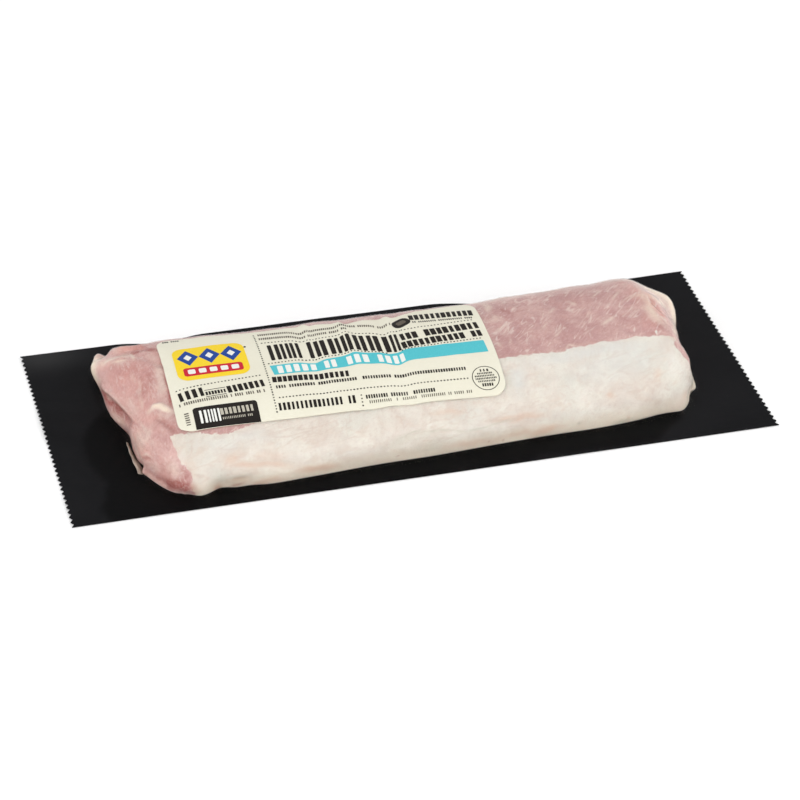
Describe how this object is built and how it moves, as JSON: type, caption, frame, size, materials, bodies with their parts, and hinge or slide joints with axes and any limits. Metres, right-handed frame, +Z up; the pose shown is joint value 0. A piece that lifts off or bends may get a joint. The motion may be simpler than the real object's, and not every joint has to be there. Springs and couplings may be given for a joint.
{
  "type": "packaged pork loin fillet",
  "caption": "Raw pork loin fillet under clear film on a flat black backing sheet with pinked ends, with a blank-worded paper label over its upper face.",
  "frame": {"origin": "underside of the backing sheet, below the middle of its length and width", "axes": "+X along the loin, away from the label and towards the bare end; -Y towards the fat cap; +Z up, out of the labelled face"},
  "size_m": [0.33, 0.127, 0.0327],
  "materials": {
    "black_film": "black plastic sheet with a satin shine, slightly rippled, darker where the clear film is sealed down",
    "pork_under_film": "raw pork, pink lean with fine pale streaks and a cream fat cap, under tight clear film with small wrinkles",
    "label_paper": "cream printed paper under clear film, with a turquoise band, a dark box, a plain round emblem and rows of bars"
  },
  "bodies": {
    "root": {"backing_sheet": "black_film", "sealed_loin": "pork_under_film", "label": "label_paper"}
  },
  "joints": []
}
